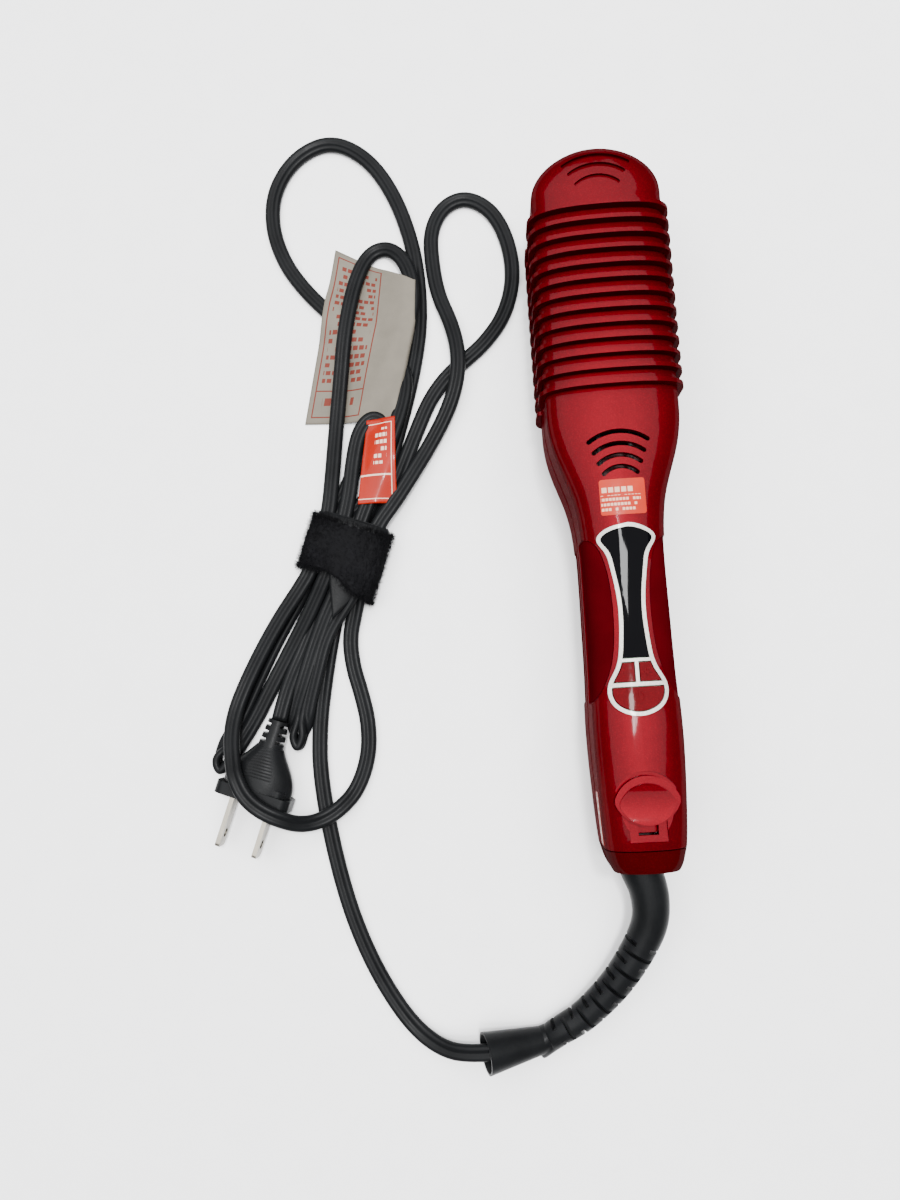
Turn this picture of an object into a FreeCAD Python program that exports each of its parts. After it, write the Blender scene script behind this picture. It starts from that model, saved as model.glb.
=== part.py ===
"""Hair-straightening iron, closed and locked, with its bundled flat cord.

Millimetres. +Z is up, +Y runs from the hinge end to the nose, and the origin is under the middle
of the iron, on the surface that it lies on. The iron is two arms that mirror each other about the
parting plane. Stations are distances along the iron from its hinge end.
"""
import FreeCAD
import Part
import math
import os

Vector = FreeCAD.Vector

# ---- driving dimensions -------------------------------------------------------------------
LENGTH = 222.0            # hinge end to nose
PARTING = 23.0            # height of the plane between the arms
ARM_GAP = 1.0             # each cover's rim stops this far from the parting plane
PLATE_GAP = 0.16          # each heating plate stops this far from the parting plane
WALL = 2.0                # cover wall
SEAT = 0.15               # clearance of a lid inside a cover

FIN_COUNT = 13
FIN_FIRST = 143.5         # station of the rearmost cooling fin
FIN_PITCH = 4.68
FIN_THICK = 1.3
FIN_TOP = 3.2             # fin height over the crown
FIN_SIDE = 1.8            # fin height at the sides
FIN_FOOT = 3.2            # height of the fins' lower ends over the parting plane

PLATE_ZONE = 136.0        # from here to the nose the arm keeps one section
BODY_HALF = 20.2          # half width in the plate zone
CROWN = 19.8              # crown height over the parting plane
SHOULDER = 12.0           # height at which the side wall turns into the crown
NOSE_LENGTH = 15.0        # the plan rounds to the nose over this length
NOSE_DROP = 7.0           # fall of the crown there
NOSE_TURNS = (0, 14, 28, 42, 54, 65, 75, 84)   # degrees round the nose's plan

# station, half width, crown height, shoulder height of the handle
HANDLE_ROWS = (
    (6.8, 11.9, 17.0, 8.5),
    (14.0, 12.3, 18.6, 10.0),
    (26.0, 12.8, 19.4, 11.2),
    (43.0, 13.1, 19.8, 11.5),
    (60.0, 12.6, 19.8, 11.5),
    (78.0, 12.4, 19.8, 11.5),
    (96.0, 12.4, 19.8, 11.5),
    (108.0, 13.5, 19.8, 11.6),
    (117.5, 16.1, 19.8, 11.8),
    (127.0, 19.0, 19.8, 12.0),
    (136.0, 20.2, 19.8, 12.0),
    (142.0, 20.2, 19.8, 12.0),
)

HINGE = 9.0               # station of the hinge pin, on the parting plane
PIN_RADIUS = 1.5
PIN_FIT = 0.06            # radial running fit of the upper knuckle on the pin
KNUCKLE_RADIUS = 4.6
KNUCKLE_HALF = 3.4        # half width of the upper arm's knuckle
LUG_INSIDE = 6.8          # the lower arm's two lugs, measured across
LUG_OUTSIDE = 9.4

BEZEL_WIDTH = 1.1
BUTTON_GAP = 0.3
BUTTON_TRAVEL = 0.6
SLIDE_TRAVEL = 4.6

BOARD_TOP = 13.2          # over the parting plane
BOARD_THICK = 1.2

CORD_WIDE = 5.4
CORD_THICK = 2.7

CORD_EXIT = 15.0          # height at which the cord enters the lower end cap

# centre line of the bend protector, from the end cap to its mouth
BOOT_ROUTE = (
    (0.0, -111.2, CORD_EXIT),
    (1.6, -117.5, 14.9),
    (2.6, -123.5, 14.5),
    (2.0, -129.8, 13.7),
    (-0.9, -136.4, 12.6),
    (-5.3, -143.4, 11.2),
    (-10.2, -149.7, 9.7),
    (-15.9, -155.5, 8.2),
    (-22.3, -160.6, 6.9),
    (-28.3, -164.1, 5.9),
    (-33.9, -166.6, 5.3),
)
BOOT_END = (-51.3, -168.2, 10.6)   # middle of the flared mouth
BOOT_ROOT = 6.4           # radii
BOOT_NECK = 4.2
BOOT_MOUTH = 6.4
BOOT_SLOTS = 13

# free cord, from the mouth of the bend protector to the bundle
CORD_ROUTE = (
    (-48.7, -168.0, 9.8),
    (-58.0, -169.0, 8.2),
    (-66.5, -167.6, 4.4),
    (-74.5, -161.8, 1.9),
    (-82.0, -151.0, 1.4),
    (-88.5, -138.0, 1.4),
    (-94.0, -122.5, 1.4),
    (-98.6, -102.0, 1.4),
)
CORD_ARC = 0.45

# outline of the folded bundle on the table
BUNDLE_OUTLINE = (
    (-98.6, -102.0),
    (-119.0, -99.0),
    (-136.0, -82.0),
    (-134.5, -62.0),
    (-118.0, -30.0),
    (-102.5, -6.0),
    (-98.0, 12.0),
    (-95.0, 44.0),
    (-107.0, 84.0),
    (-113.5, 116.0),
    (-103.5, 142.0),
    (-86.0, 148.5),
    (-68.0, 138.0),
    (-54.0, 121.0),
    (-38.0, 121.5),
    (-25.5, 104.0),
    (-27.5, 78.0),
    (-44.5, 50.0),
    (-66.0, 16.0),
    (-77.5, -8.0),
    (-82.5, -36.0),
    (-79.0, -66.0),
    (-85.0, -92.0),
)
BUNDLE_HIGH = 8.0

PLUG_SPOT = (-123.2, -87.4)      # middle of the plug's flange
PLUG_TURN = -110.4               # direction that the blades point in
PLUG_HIGH = 12.4


# ---- general helpers ----------------------------------------------------------------------
def along(station):
    """Y of a station measured from the hinge end."""
    return station - LENGTH / 2


def box(x0, x1, y0, y1, z0, z1):
    return Part.makeBox(x1 - x0, y1 - y0, z1 - z0, Vector(x0, y0, z0))


def rod(radius, start, end):
    start = Vector(*start)
    span = Vector(*end) - start
    return Part.makeCylinder(radius, span.Length, start, span)


def mirrored(shape):
    """The same piece on the other arm."""
    return shape.mirror(Vector(0, 0, PARTING), Vector(0, 0, 1))


def flipped(shape):
    """The same piece on the other side of the iron."""
    return shape.mirror(Vector(0, 0, 0), Vector(1, 0, 0))


def prism(wire, bottom, top):
    face = Part.Face(wire)
    face.translate(Vector(0, 0, bottom - wire.BoundBox.ZMin))
    return face.extrude(Vector(0, 0, top - bottom))


def polygon_prism(points, bottom, top):
    corners = [Vector(x, y, bottom) for x, y in points]
    return prism(Part.makePolygon(corners + corners[:1]), bottom, top)


def rounded_box(x0, x1, y0, y1, z0, z1, radius):
    solid = box(x0, x1, y0, y1, z0, z1)
    upright = [e for e in solid.Edges if abs(e.tangentAt(e.FirstParameter).z) > 0.99]
    return solid.makeFillet(radius, upright)


def smooth_outline(points):
    """Closed smooth wire through points of the plan."""
    curve = Part.BSplineCurve()
    curve.interpolate([Vector(x, y, 0) for x, y in points], PeriodicFlag=True)
    return Part.Wire(curve.toShape())


def bezier(*poles):
    curve = Part.BezierCurve()
    curve.setPoles([Vector(*pole) for pole in poles])
    return curve.toShape()


def save(name, *solids):
    """Write one node. Several solids make a group."""
    shape = solids[0] if len(solids) == 1 else Part.makeCompound(list(solids))
    if shape.ShapeType == "Compound" and len(shape.Solids) == 1:
        shape = shape.Solids[0]
    shape.exportStep(f"parts/{name}.step")
    bounds = shape.BoundBox
    print(f"{name:24s} solids {len(shape.Solids)} valid {shape.isValid()} volume {shape.Volume:9.1f} "
          f"x {bounds.XMin:7.1f} {bounds.XMax:7.1f} y {bounds.YMin:7.1f} {bounds.YMax:7.1f} "
          f"z {bounds.ZMin:6.2f} {bounds.ZMax:6.2f}")


# ---- arm skin -----------------------------------------------------------------------------
def arm_section(y, half, crown, shoulder, foot):
    """Closed section of an arm across the iron. Heights are over the parting plane."""
    low = PARTING + foot
    side = PARTING + shoulder
    high = PARTING + crown
    pull = side + 0.75 * (high - side)
    edges = (
        Part.makeLine(Vector(-half, y, low), Vector(-half, y, side)),
        bezier((-half, y, side), (-half, y, pull), (-0.62 * half, y, high), (0, y, high)),
        bezier((0, y, high), (0.62 * half, y, high), (half, y, pull), (half, y, side)),
        Part.makeLine(Vector(half, y, side), Vector(half, y, low)),
        Part.makeLine(Vector(half, y, low), Vector(-half, y, low)),
    )
    return Part.Wire(edges)


def nose_rows(inset):
    """Sections round the nose: station, half width, crown and shoulder heights."""
    start = LENGTH - NOSE_LENGTH
    rows = [(start - 4.0, BODY_HALF - inset, CROWN - inset, SHOULDER)]
    tip = math.sin(math.radians(NOSE_TURNS[-1]))
    for turn in NOSE_TURNS:
        angle = math.radians(turn)
        narrowed = 1 - math.cos(angle)
        rows.append((start + (NOSE_LENGTH - inset) * math.sin(angle) / tip,
                     (BODY_HALF - inset) * math.cos(angle),
                     CROWN - inset - NOSE_DROP * narrowed ** 1.4,
                     SHOULDER - 0.45 * NOSE_DROP * narrowed))
    return rows


def skin(inset, foot, rear=6.8):
    """Solid inside the arm's outer surface, moved inwards by inset."""
    rows = [(max(s, rear) if s < 10 else s, w, c, h) for s, w, c, h in HANDLE_ROWS]
    wires = [arm_section(along(s), w - inset, c - inset, h, foot) for s, w, c, h in rows]
    handle = Part.makeLoft(wires, True, False)
    back = along(HANDLE_ROWS[-1][0])
    wire = arm_section(back, BODY_HALF - inset, CROWN - inset, SHOULDER, foot)
    nose = nose_rows(inset)
    middle = Part.Face(wire).extrude(Vector(0, along(nose[0][0]) - back, 0))
    front = Part.makeLoft([arm_section(along(s), w, c, h, foot) for s, w, c, h in nose], True, False)
    return handle.fuse([middle, front]).removeSplitter()


def fin(station):
    """One cooling fin: a thin plate over the crown and down both sides."""
    y = along(station) - FIN_THICK / 2
    half = BODY_HALF + FIN_SIDE
    root = BODY_HALF - 1.0
    low = PARTING + FIN_FOOT
    side = PARTING + SHOULDER
    high = PARTING + CROWN + FIN_TOP
    pull = side + 0.78 * (high - side)
    bend = low + 2.6
    edges = (
        Part.makeLine(Vector(root, y, low), Vector(BODY_HALF, y, low)),
        bezier((BODY_HALF, y, low), (half, y, low), (half, y, low + 1.0), (half, y, bend)),
        Part.makeLine(Vector(half, y, bend), Vector(half, y, side)),
        bezier((half, y, side), (half, y, pull), (0.64 * half, y, high), (0, y, high)),
        bezier((0, y, high), (-0.64 * half, y, high), (-half, y, pull), (-half, y, side)),
        Part.makeLine(Vector(-half, y, side), Vector(-half, y, bend)),
        bezier((-half, y, bend), (-half, y, low + 1.0), (-half, y, low), (-BODY_HALF, y, low)),
        Part.makeLine(Vector(-BODY_HALF, y, low), Vector(-root, y, low)),
        Part.makeLine(Vector(-root, y, low), Vector(root, y, low)),
    )
    plate = Part.Face(Part.Wire(edges)).extrude(Vector(0, FIN_THICK, 0))
    core = arm_section(y - 1, BODY_HALF - 1.0, CROWN - 1.0, SHOULDER, 0)
    return plate.cut(Part.Face(core).extrude(Vector(0, FIN_THICK + 2, 0)))


def arc_slot(half, ends, middle, width):
    """Bowed vent slot: ends and middle are stations."""
    rise = middle - ends
    radius = (half * half + rise * rise) / (2 * rise)
    centre = Vector(0, along(middle) - radius, 0)
    turn = math.asin(half / radius)

    def spot(r, angle):
        return centre + Vector(r * math.sin(angle), r * math.cos(angle), 0)

    outer = radius + width / 2
    inner = radius - width / 2
    edges = (
        Part.Arc(spot(outer, -turn), spot(outer, 0), spot(outer, turn)).toShape(),
        Part.Arc(spot(outer, turn), spot(radius, turn + width / 2 / radius),
                 spot(inner, turn)).toShape(),
        Part.Arc(spot(inner, turn), spot(inner, 0), spot(inner, -turn)).toShape(),
        Part.Arc(spot(inner, -turn), spot(radius, -turn - width / 2 / radius),
                 spot(outer, -turn)).toShape(),
    )
    return prism(Part.Wire(edges), PARTING + CROWN - 7, PARTING + CROWN + 5)


def vents():
    """Open slots behind the fins, and blind ones of the same pattern in the nose."""
    nose = [arc_slot(9.8, 214.5, 217.3, 1.5), arc_slot(8.1, 211.3, 213.8, 1.5),
            arc_slot(6.2, 207.7, 209.8, 1.5)]
    nose = [slot.common(band(-0.5, 0.9)) for slot in nose]
    rear = [arc_slot(8.7, 126.3, 129.1, 1.4), arc_slot(7.4, 122.9, 125.4, 1.4),
            arc_slot(6.2, 119.6, 121.9, 1.4), arc_slot(4.9, 116.4, 118.4, 1.4)]
    return nose + rear


BOSS_STATIONS = (38.0, 109.0)


def boss(station):
    post = rod(3.0, (0, along(station), PARTING + 3.3), (0, along(station), PARTING + CROWN))
    return post.cut(rod(1.2, (0, along(station), PARTING), (0, along(station), PARTING + 13)))


def bare_cover():
    """Arm cover with fins, vents and screw bosses, before the upper arm's openings."""
    outside = skin(0, ARM_GAP)
    shell = outside.cut(skin(WALL, -2, rear=6.0))
    shell = shell.cut(vents())
    fins = [fin(FIN_FIRST + i * FIN_PITCH) for i in range(FIN_COUNT)]
    posts = [boss(s).common(skin(0.8, -2)) for s in BOSS_STATIONS]
    return shell.fuse(fins + posts)


# ---- control island -----------------------------------------------------------------------
# half outline of the trim round the display and buttons: half width, station
TRIM_OUTLINE = (
    (0.0, 101.3), (5.6, 100.0), (8.6, 97.0), (6.8, 93.4), (5.4, 88.8), (4.2, 80.7), (3.95, 73.0),
    (4.4, 66.7), (6.1, 58.8), (8.3, 54.6), (8.6, 51.2), (7.0, 47.9), (4.2, 46.0), (0.0, 45.1),
)
WINDOW_REAR = 61.9        # station where the display window ends
STEP_FRONT = 60.4         # plus and minus buttons
STEP_REAR = 55.0
POWER_FRONT = 53.3        # half-moon power button
BAR_HALF = 0.5            # half width of the trim's bar between the plus and minus buttons


def trim_outline(offset):
    """Plan outline of the control island, moved outwards by offset."""
    right = [Vector(x, along(s), 0) for x, s in TRIM_OUTLINE]
    left = [Vector(-p.x, p.y, 0) for p in reversed(right[1:-1])]
    curve = Part.BSplineCurve()
    curve.interpolate(right + left, PeriodicFlag=True)
    moved = []
    for point in right + left:
        direction = Vector(*curve.tangent(curve.parameter(point))[0])
        moved.append(point + direction.cross(Vector(0, 0, 1)) * -offset)
    return smooth_outline([(p.x, p.y) for p in moved])


def island(offset):
    """Upright prism over the control island."""
    return prism(trim_outline(offset), PARTING + 8, PARTING + 30)


def band(outer, inner):
    """Layer of the upper arm between two depths under its surface."""
    return skin(outer, 2).cut(skin(inner, 1))


def zone(x0, x1, s0, s1):
    return box(x0, x1, along(s0), along(s1), PARTING, PARTING + 40)


def button(area, spots):
    """A cap in the surface with a stem down to its switch."""
    cap = band(-0.45, 1.7).common(island(-BEZEL_WIDTH - BUTTON_GAP)).common(area)
    stems = [rod(1.2, (x, along(s), PARTING + BOARD_TOP + 3.0), (x, along(s), PARTING + CROWN - 1.6))
             for x, s in spots]
    return cap.fuse([stem.common(skin(0.8, 2)) for stem in stems])


SWITCH_SPOTS = ((-2.9, 57.2), (2.9, 57.2), (0.0, 50.2))


def power_mark():
    """Generic stand-by sign, raised from the power button: a broken ring and a bar."""
    middle = along(50.4)
    ring = rod(1.75, (0, middle, PARTING), (0, middle, PARTING + 30))
    ring = ring.cut(rod(1.3, (0, middle, PARTING), (0, middle, PARTING + 30)))
    ring = ring.cut(zone(-0.6, 0.6, 50.9, 53.0))
    bar = zone(-0.22, 0.22, 50.6, 52.6)
    return raised_mark(ring.fuse(bar))


def bezel():
    """Pearl trim with bars between the window and the three buttons."""
    bars = zone(-12, 12, STEP_FRONT + BUTTON_GAP, WINDOW_REAR - BUTTON_GAP)
    bars = bars.fuse(zone(-12, 12, POWER_FRONT + BUTTON_GAP, STEP_REAR - BUTTON_GAP))
    bars = bars.fuse(zone(-BAR_HALF, BAR_HALF, POWER_FRONT + 0.5, WINDOW_REAR - 0.5))
    opening = island(-BEZEL_WIDTH).cut(bars)
    return band(-0.35, 2.3).common(island(0)).cut(opening)


def raised_mark(area):
    """Low generic sign on a button."""
    return area.common(band(-0.65, 0.6))


def control_parts():
    save("control_bezel", bezel())
    glass = band(-0.05, 1.6).common(island(-BEZEL_WIDTH - 0.08)).common(zone(-12, 12, WINDOW_REAR, 104))
    save("display_window", glass)
    step = button(zone(-9, -BAR_HALF - BUTTON_GAP, STEP_REAR, STEP_FRONT), SWITCH_SPOTS[:1])
    dash = raised_mark(zone(-3.9, -1.9, 57.3, 57.8))
    upright = raised_mark(zone(-3.15, -2.65, 56.5, 58.6))
    save("minus_button", step.fuse(dash))
    save("plus_button", flipped(step.fuse([dash, upright])))
    power = button(zone(-9, 9, 40, POWER_FRONT), SWITCH_SPOTS[2:])
    save("power_button", power.fuse(power_mark()))


def electronics():
    top = PARTING + BOARD_TOP
    board = rounded_box(-8.6, 8.6, along(46), along(103), top - BOARD_THICK, top, 2.0)
    save("control_board", board)
    switches = []
    for x, station in SWITCH_SPOTS:
        y = along(station)
        case = box(x - 2.2, x + 2.2, y - 2.2, y + 2.2, top, top + 1.5)
        switches.append(case.fuse(rod(0.9, (x, y, top + 1.4), (x, y, top + 2.0))))
    save("tact_switches", *switches)
    module = rounded_box(-2.6, 2.6, along(64), along(92), top, top + 3.6, 0.5)
    lamp = box(-4.6, 4.6, along(93.0), along(98.0), top, top + 3.0)
    save("display_module", module, lamp)


# ---- side grips ---------------------------------------------------------------------------
# line where the bright top of the handle ends and the side grip begins: half width, station
RIDGE = ((13.6, 98.2), (9.4, 96.0), (6.9, 90.4), (5.5, 80.0), (5.55, 70.0), (7.0, 60.0), (10.2, 52.6),
         (13.8, 48.2))


def grip_outline(margin):
    """Plan of a right side grip, from the ridge line out past the side of the handle."""
    curve = Part.BSplineCurve()
    curve.interpolate([Vector(x + margin, along(s), 0) for x, s in RIDGE])
    first = curve.value(curve.FirstParameter)
    last = curve.value(curve.LastParameter)
    return Part.Wire((curve.toShape(),
                      Part.makeLine(last, Vector(17, last.y, 0)),
                      Part.makeLine(Vector(17, last.y, 0), Vector(17, first.y, 0)),
                      Part.makeLine(Vector(17, first.y, 0), first)))


GRIP_DEPTH = 1.2
GRIP_SUNK = 0.35
GRIP_FOOT = 4.2


def grip_pocket():
    area = prism(grip_outline(0), PARTING + GRIP_FOOT, PARTING + 30)
    return area.cut(skin(GRIP_DEPTH, 0))


def grip():
    area = prism(grip_outline(0.15), PARTING + GRIP_FOOT + 0.15, PARTING + 30)
    area = area.common(box(0, 30, along(48.4), along(98.0), 0, 60))
    return band(GRIP_SUNK, GRIP_DEPTH).common(area)


# ---- lock slide ---------------------------------------------------------------------------
DECK = 17.9               # height of the slide's deck over the parting plane
SLIDE_REAR = 14.2
SLIDE_FRONT = 27.0


def oval(half, rear, front, bottom, top):
    """Upright oval block: straight sides with round ends."""
    y0 = along(rear)
    y1 = along(front)
    bow = min(half, (y1 - y0) / 2) * 0.9
    edges = (
        Part.Arc(Vector(-half, y0 + bow, 0), Vector(0, y0, 0), Vector(half, y0 + bow, 0)).toShape(),
        Part.makeLine(Vector(half, y0 + bow, 0), Vector(half, y1 - bow, 0)),
        Part.Arc(Vector(half, y1 - bow, 0), Vector(0, y1, 0), Vector(-half, y1 - bow, 0)).toShape(),
        Part.makeLine(Vector(-half, y1 - bow, 0), Vector(-half, y0 + bow, 0)),
    )
    return prism(Part.Wire(edges), PARTING + bottom, PARTING + top)


def slide_deck():
    """What the upper cover loses to the lock slide: a flat deck, a shallow track and a slot."""
    deck = oval(9.7, 8.4, 29.5, DECK, DECK + 8)
    track = zone(-5.4, 5.4, 9.2, 16.0).common(box(-9, 9, -200, 0, PARTING + DECK - 0.9, 90))
    slot = zone(-2.9, 2.9, 11.2, 24.8).common(box(-9, 9, -200, 0, PARTING + 12, 90))
    return [deck, track, slot]


def lock_slide():
    """Thumb slide with a scooped oval pad, a stem through the cover and a toe for the catch."""
    plate = oval(9.2, SLIDE_REAR, SLIDE_FRONT + 1.2, DECK + 0.3, DECK + 2.2)
    pad = oval(7.9, SLIDE_REAR + 0.3, 26.0, DECK + 2.0, DECK + 4.2)
    scoop = rod(24.0, (-20, along(20.2), PARTING + DECK + 26.6), (20, along(20.2), PARTING + DECK + 26.6))
    stem = zone(-2.5, 2.5, 16.4, 24.3).common(box(-9, 9, -200, 0, PARTING + 4.6, PARTING + DECK + 1))
    wings = zone(-6.0, 6.0, 11.6, 23.4).common(box(-9, 9, -200, 0, PARTING + 12.6, PARTING + 14.0))
    toe = zone(-2.5, 2.5, 20.0, 25.2).common(box(-9, 9, -200, 0, PARTING + 4.6, PARTING + 6.4))
    return plate.fuse(pad).cut(scoop).fuse([stem, wings, toe])


def latch_catch():
    """Hooked post on the lower arm that the slide's toe holds."""
    y = along(28.6)
    foot = box(-4.5, 4.5, y - 2.5, y + 3.5, PARTING - 4.6, PARTING - 3.1)
    post = box(-2.0, 2.0, y, y + 2.0, PARTING - 3.2, PARTING + 9.0)
    head = box(-2.0, 2.0, y - 2.4, y + 2.0, PARTING + 6.9, PARTING + 9.0)
    save("latch_catch", foot.fuse([post, head]))


def detent_spring():
    """Leaf that clicks the slide into its two places."""
    leaf = zone(-6.0, -3.6, 12.0, 32.0).common(box(-9, 9, -200, 0, PARTING + 11.6, PARTING + 12.0))
    tab = zone(-6.0, -3.6, 31.6, 32.0).common(box(-9, 9, -200, 0, PARTING + 3.2, PARTING + 12.0))
    save("detent_spring", leaf.fuse(tab))


REST_HALF = 8.2           # rest pad under the lower handle
REST_REAR = 12.0
REST_FRONT = 34.0


# ---- inner pieces that both arms have -----------------------------------------------------
LID_LOW = 0.6             # lids over the parting plane
LID_HIGH = 3.1
LID_FRONT = 129.2
CARRIER_HIGH = 6.4
PLATE_HALF = 14.6
PLATE_REAR = 134.0
PLATE_FRONT = 211.5
PLATE_THICK = 2.4


def slab(low, high, rear, front):
    return box(-40, 40, along(rear), along(front), PARTING + low, PARTING + high)


def screw_hole(station):
    y = along(station)
    hole = rod(1.25, (0, y, PARTING), (0, y, PARTING + 8))
    return hole.fuse(rod(2.3, (0, y, PARTING), (0, y, PARTING + 1.9)))


def lid():
    """Inner half of the handle, inside the cover's rim."""
    plate = skin(WALL + SEAT, LID_LOW).common(slab(LID_LOW, LID_HIGH, 6.9, LID_FRONT))
    return plate.cut([screw_hole(s) for s in BOSS_STATIONS])


def screws(name, place):
    pieces = []
    for station in BOSS_STATIONS:
        y = along(station)
        shank = rod(1.15, (0, y, PARTING + 1.5), (0, y, PARTING + 12))
        head = rod(2.2, (0, y, PARTING + 0.75), (0, y, PARTING + 1.9))
        cross = [box(-1.3, 1.3, y - 0.25, y + 0.25, PARTING, PARTING + 1.3),
                 box(-0.25, 0.25, y - 1.3, y + 1.3, PARTING, PARTING + 1.3)]
        pieces.append(place(head.fuse(shank).cut(cross)))
    save(name, *pieces)


def carrier():
    """Heat-resistant frame that holds the heating plate in the cover."""
    block = skin(WALL + SEAT, LID_LOW).common(slab(LID_LOW, CARRIER_HIGH, LID_FRONT + 0.2, LENGTH))
    window = box(-PLATE_HALF - 0.1, PLATE_HALF + 0.1, along(PLATE_REAR) - 0.1,
                 along(PLATE_FRONT) + 0.1, PARTING - 1, PARTING + 20)
    return block.cut(window)


def heating_plate():
    """Coated plate with softly rounded long edges."""
    plate = box(-PLATE_HALF, PLATE_HALF, along(PLATE_REAR), along(PLATE_FRONT),
                PARTING + PLATE_GAP, PARTING + PLATE_GAP + PLATE_THICK)
    edges = [e for e in plate.Edges if e.BoundBox.ZMax < PARTING + PLATE_GAP + 0.01
             and e.BoundBox.YLength > 10]
    return plate.makeFillet(1.1, edges)


def heater():
    low = PARTING + PLATE_GAP + PLATE_THICK
    return box(-5.5, 5.5, along(144), along(206), low, low + 2.2)


def heat_shield():
    """Thin pan over the heater that keeps its heat off the cover."""
    low = PARTING + PLATE_GAP + PLATE_THICK
    outer = box(-12, 12, along(138), along(PLATE_FRONT - 2), low, low + 3.6)
    inner = box(-11.4, 11.4, along(138) - 1, along(PLATE_FRONT), low - 1, low + 3.0)
    return outer.cut(inner)


def wire(start, end, sag):
    """Thin insulated wire in a shallow bow between two points."""
    a = Vector(*start)
    b = Vector(*end)
    middle = (a + b) * 0.5 + Vector(*sag)
    path = Part.Wire(Part.Arc(a, middle, b).toShape())
    tangent = path.Edges[0].tangentAt(path.Edges[0].FirstParameter)
    ring = Part.Wire(Part.makeCircle(0.75, a, tangent))
    return path.makePipeShell([ring], True, False)


def thermal_sensors():
    low = PARTING + PLATE_GAP + PLATE_THICK + 3.6
    save("thermal_fuse", rod(1.6, (0, along(160), low + 1.6), (0, along(172), low + 1.6)))
    save("thermistor", rod(1.1, (4, along(184), low + 1.1), (4, along(189), low + 1.1)))


# ---- hinge --------------------------------------------------------------------------------
def cross_rod(radius, half):
    return rod(radius, (-half, along(HINGE), PARTING), (half, along(HINGE), PARTING))


def hinge_room(half):
    """Space for the other arm's side of the hinge."""
    return cross_rod(KNUCKLE_RADIUS + 0.5, half)


def upper_lid():
    knuckle = cross_rod(KNUCKLE_RADIUS, KNUCKLE_HALF)
    web = box(-KNUCKLE_HALF, KNUCKLE_HALF, along(HINGE), along(20.5), PARTING + 0.8, PARTING + LID_HIGH)
    plate = lid().cut(hinge_room(LUG_OUTSIDE + 0.6))
    plate = plate.cut(box(-3.0, 3.0, along(24.2), along(33.4), PARTING - 1, PARTING + 9))
    ring = knuckle.fuse(web)
    posts = [rod(1.8, (0, along(s), PARTING + LID_HIGH - 0.2),
                 (0, along(s), PARTING + BOARD_TOP - BOARD_THICK)) for s in (60.0, 96.0)]
    whole = plate.fuse([ring] + posts)
    return whole.cut(cross_rod(PIN_RADIUS + PIN_FIT, 20))


def lower_lid():
    plate = mirrored(lid()).cut(hinge_room(LUG_OUTSIDE + 0.6))
    lugs = []
    for side in (-1, 1):
        x0 = min(side * LUG_INSIDE, side * LUG_OUTSIDE)
        x1 = max(side * LUG_INSIDE, side * LUG_OUTSIDE)
        ear = rod(KNUCKLE_RADIUS, (x0, along(HINGE), PARTING), (x1, along(HINGE), PARTING))
        web = box(x0, x1, along(HINGE), along(16.5), PARTING - LID_HIGH, PARTING - LID_LOW)
        lugs.append(ear.fuse(web))
    slot = box(-4.7, 4.7, along(25.9), along(32.3), PARTING - 4.0, PARTING + 1)
    whole = plate.fuse(lugs).cut(slot)
    return whole.cut(cross_rod(PIN_RADIUS, 20))


def hinge_parts():
    save("hinge_pin", cross_rod(PIN_RADIUS, LUG_OUTSIDE + 0.3))
    coils = []
    for side in (-1, 1):
        x0 = min(side * 3.9, side * 6.3)
        x1 = max(side * 3.9, side * 6.3)
        coil = rod(2.9, (x0, along(HINGE), PARTING), (x1, along(HINGE), PARTING))
        legs = [rod(0.45, (side * x, along(HINGE + 2), PARTING - 0.1), (side * x, along(22.0), PARTING - 0.1))
                for x in (4.4, 5.8)]
        coils.append(coil.fuse(legs).cut(cross_rod(PIN_RADIUS + 0.15, 20)))
    save("opening_spring", *coils)


# ---- end caps and cord entry --------------------------------------------------------------
# station, half width, crown height, shoulder height
CAP_ROWS = ((6.45, 11.8, 16.9, 8.4), (4.0, 11.2, 16.4, 8.0), (1.4, 10.4, 15.7, 7.4), (0.0, 9.7, 15.0, 6.8))


def cap(foot):
    wires = [arm_section(along(s), w, c, h, foot) for s, w, c, h in CAP_ROWS]
    inner = [arm_section(along(s + 1.4), w - 1.6, c - 1.6, h, foot - 1) for s, w, c, h in CAP_ROWS]
    return Part.makeLoft(wires, True, False).cut(Part.makeLoft(inner, True, False))


def upper_end_cap():
    """Rear cap whose underside slopes, so that the arm can open."""
    slope = Part.Face(Part.makePolygon([
        Vector(-20, along(6.6), PARTING - 3), Vector(-20, along(6.6), PARTING + 1.0),
        Vector(-20, along(-1.6), PARTING + 4.0), Vector(-20, along(-1.6), PARTING - 3),
        Vector(-20, along(6.6), PARTING - 3)])).extrude(Vector(40, 0, 0))
    return cap(ARM_GAP).cut([slope, hinge_room(LUG_OUTSIDE + 0.6)])


def lower_end_cap():
    """Rear cap with the hub that the swivel bush turns in."""
    height = BOOT_ROUTE[0][2]
    bore = rod(5.4, (0, along(-3), height), (0, along(7), height))
    hub = rod(6.4, (0, along(0.7), height), (0, along(4.6), height))
    return mirrored(cap(ARM_GAP)).fuse(hub).cut([bore, hinge_room(LUG_OUTSIDE + 0.6)])


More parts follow.
